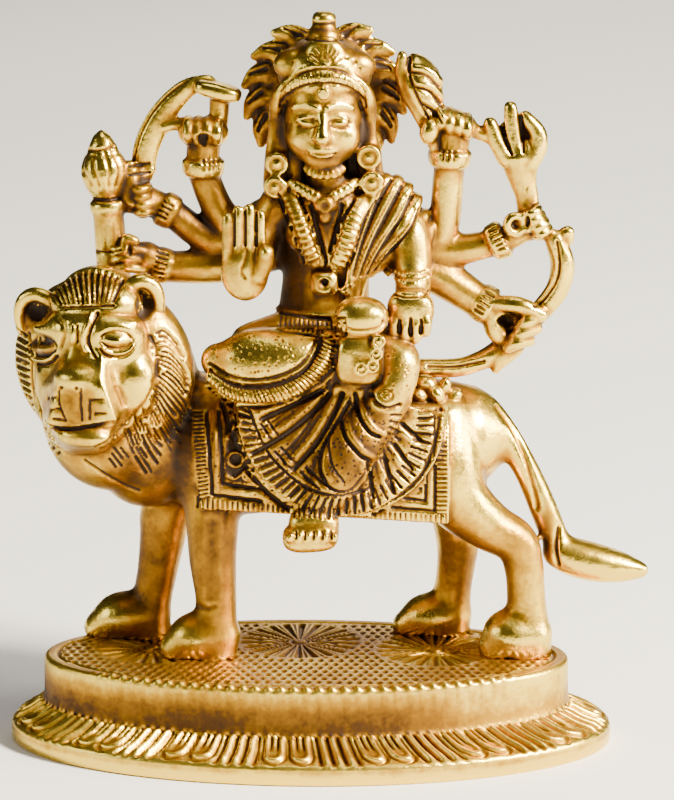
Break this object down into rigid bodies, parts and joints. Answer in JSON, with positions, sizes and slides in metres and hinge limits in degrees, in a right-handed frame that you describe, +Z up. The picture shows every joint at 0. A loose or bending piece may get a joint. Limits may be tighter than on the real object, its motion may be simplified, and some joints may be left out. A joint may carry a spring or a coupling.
{
  "type": "brass idol statuette",
  "caption": "Cast brass statuette of an eight-armed goddess seated sideways on a standing lion, on an oval plinth with a leaf moulding.",
  "frame": {"origin": "centre of the plinth's flat underside", "axes": "+Z up, -Y towards the viewer whom the goddess and the lion face, +X to the viewer's right, towards the lion's tail"},
  "size_m": [0.0995, 0.0506, 0.1134],
  "materials": {
    "figure_brass": "cast and tumbled brass, bright on the raised parts, with brown antique finish in the recesses",
    "plinth_brass": "cast brass, satin on the plain bands, brown antique finish in the punched ground and leaf moulding"
  },
  "bodies": {
    "root": {"goddess_on_lion": "figure_brass", "plinth": "plinth_brass"}
  },
  "joints": []
}
